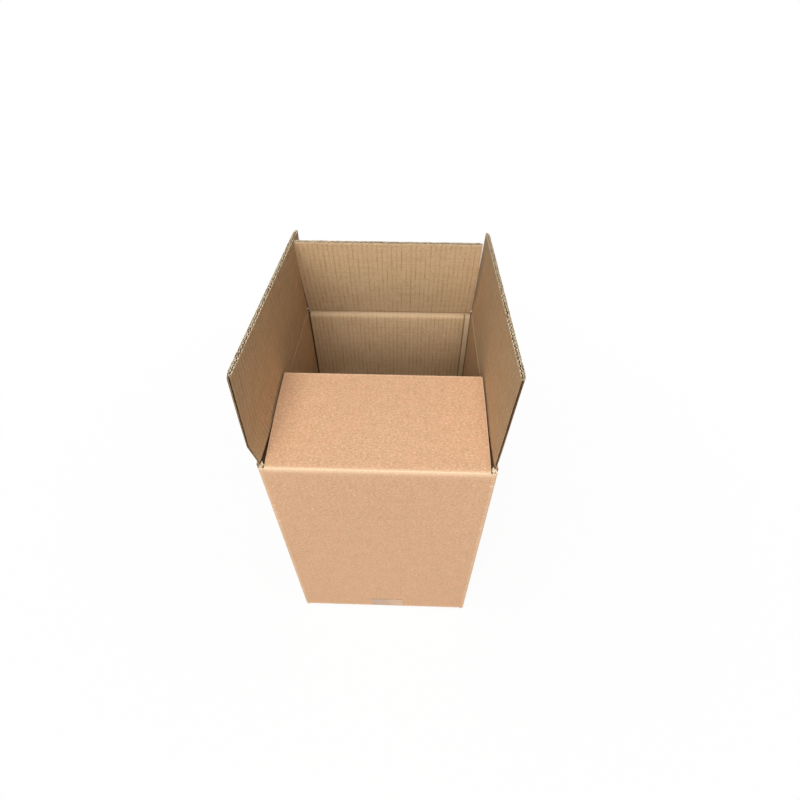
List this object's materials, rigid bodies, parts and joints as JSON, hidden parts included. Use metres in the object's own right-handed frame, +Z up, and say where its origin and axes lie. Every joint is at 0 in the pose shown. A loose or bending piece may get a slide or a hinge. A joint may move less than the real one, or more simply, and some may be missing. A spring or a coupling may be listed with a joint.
{
  "type": "corrugated box",
  "caption": "Open regular slotted carton of plain double-wall corrugated board, with four hinged top flaps and a taped bottom.",
  "frame": {"origin": "middle of the box's footprint, on the surface it stands on", "axes": "+Z up, +X across the box towards the right-hand wall, +Y from the front wall to the back wall; the flap that is folded in is at the front, -Y"},
  "size_m": [0.3175, 0.3666, 0.6168],
  "materials": {
    "kraft_board": "matte",
    "kraft_flap": "matte",
    "packing_tape": "gloss"
  },
  "bodies": {
    "box": {"box_body": "kraft_board", "bottom_tape": "packing_tape"},
    "front_flap": {"top_flap_front": "kraft_flap"},
    "back_flap": {"top_flap_back": "kraft_flap"},
    "left_flap": {"top_flap_left": "kraft_flap"},
    "right_flap": {"top_flap_right": "kraft_flap"}
  },
  "joints": [
    {"name": "front_crease", "type": "hinge", "parent": "box", "child": "front_flap", "pos_m": [0, -0.1806, 0.4589], "axis": [1, 0, 0], "range_deg": [-10, 240]},
    {"name": "back_crease", "type": "hinge", "parent": "box", "child": "back_flap", "pos_m": [0, 0.1806, 0.4589], "axis": [-1, 0, 0], "range_deg": [-77.5, 172.5]},
    {"name": "left_crease", "type": "hinge", "parent": "box", "child": "left_flap", "pos_m": [-0.1556, 0, 0.4657], "axis": [0, -1, 0], "range_deg": [0, 160]},
    {"name": "right_crease", "type": "hinge", "parent": "box", "child": "right_flap", "pos_m": [0.1556, 0, 0.4657], "axis": [0, 1, 0], "range_deg": [-1.7, 158.3]}
  ]
}
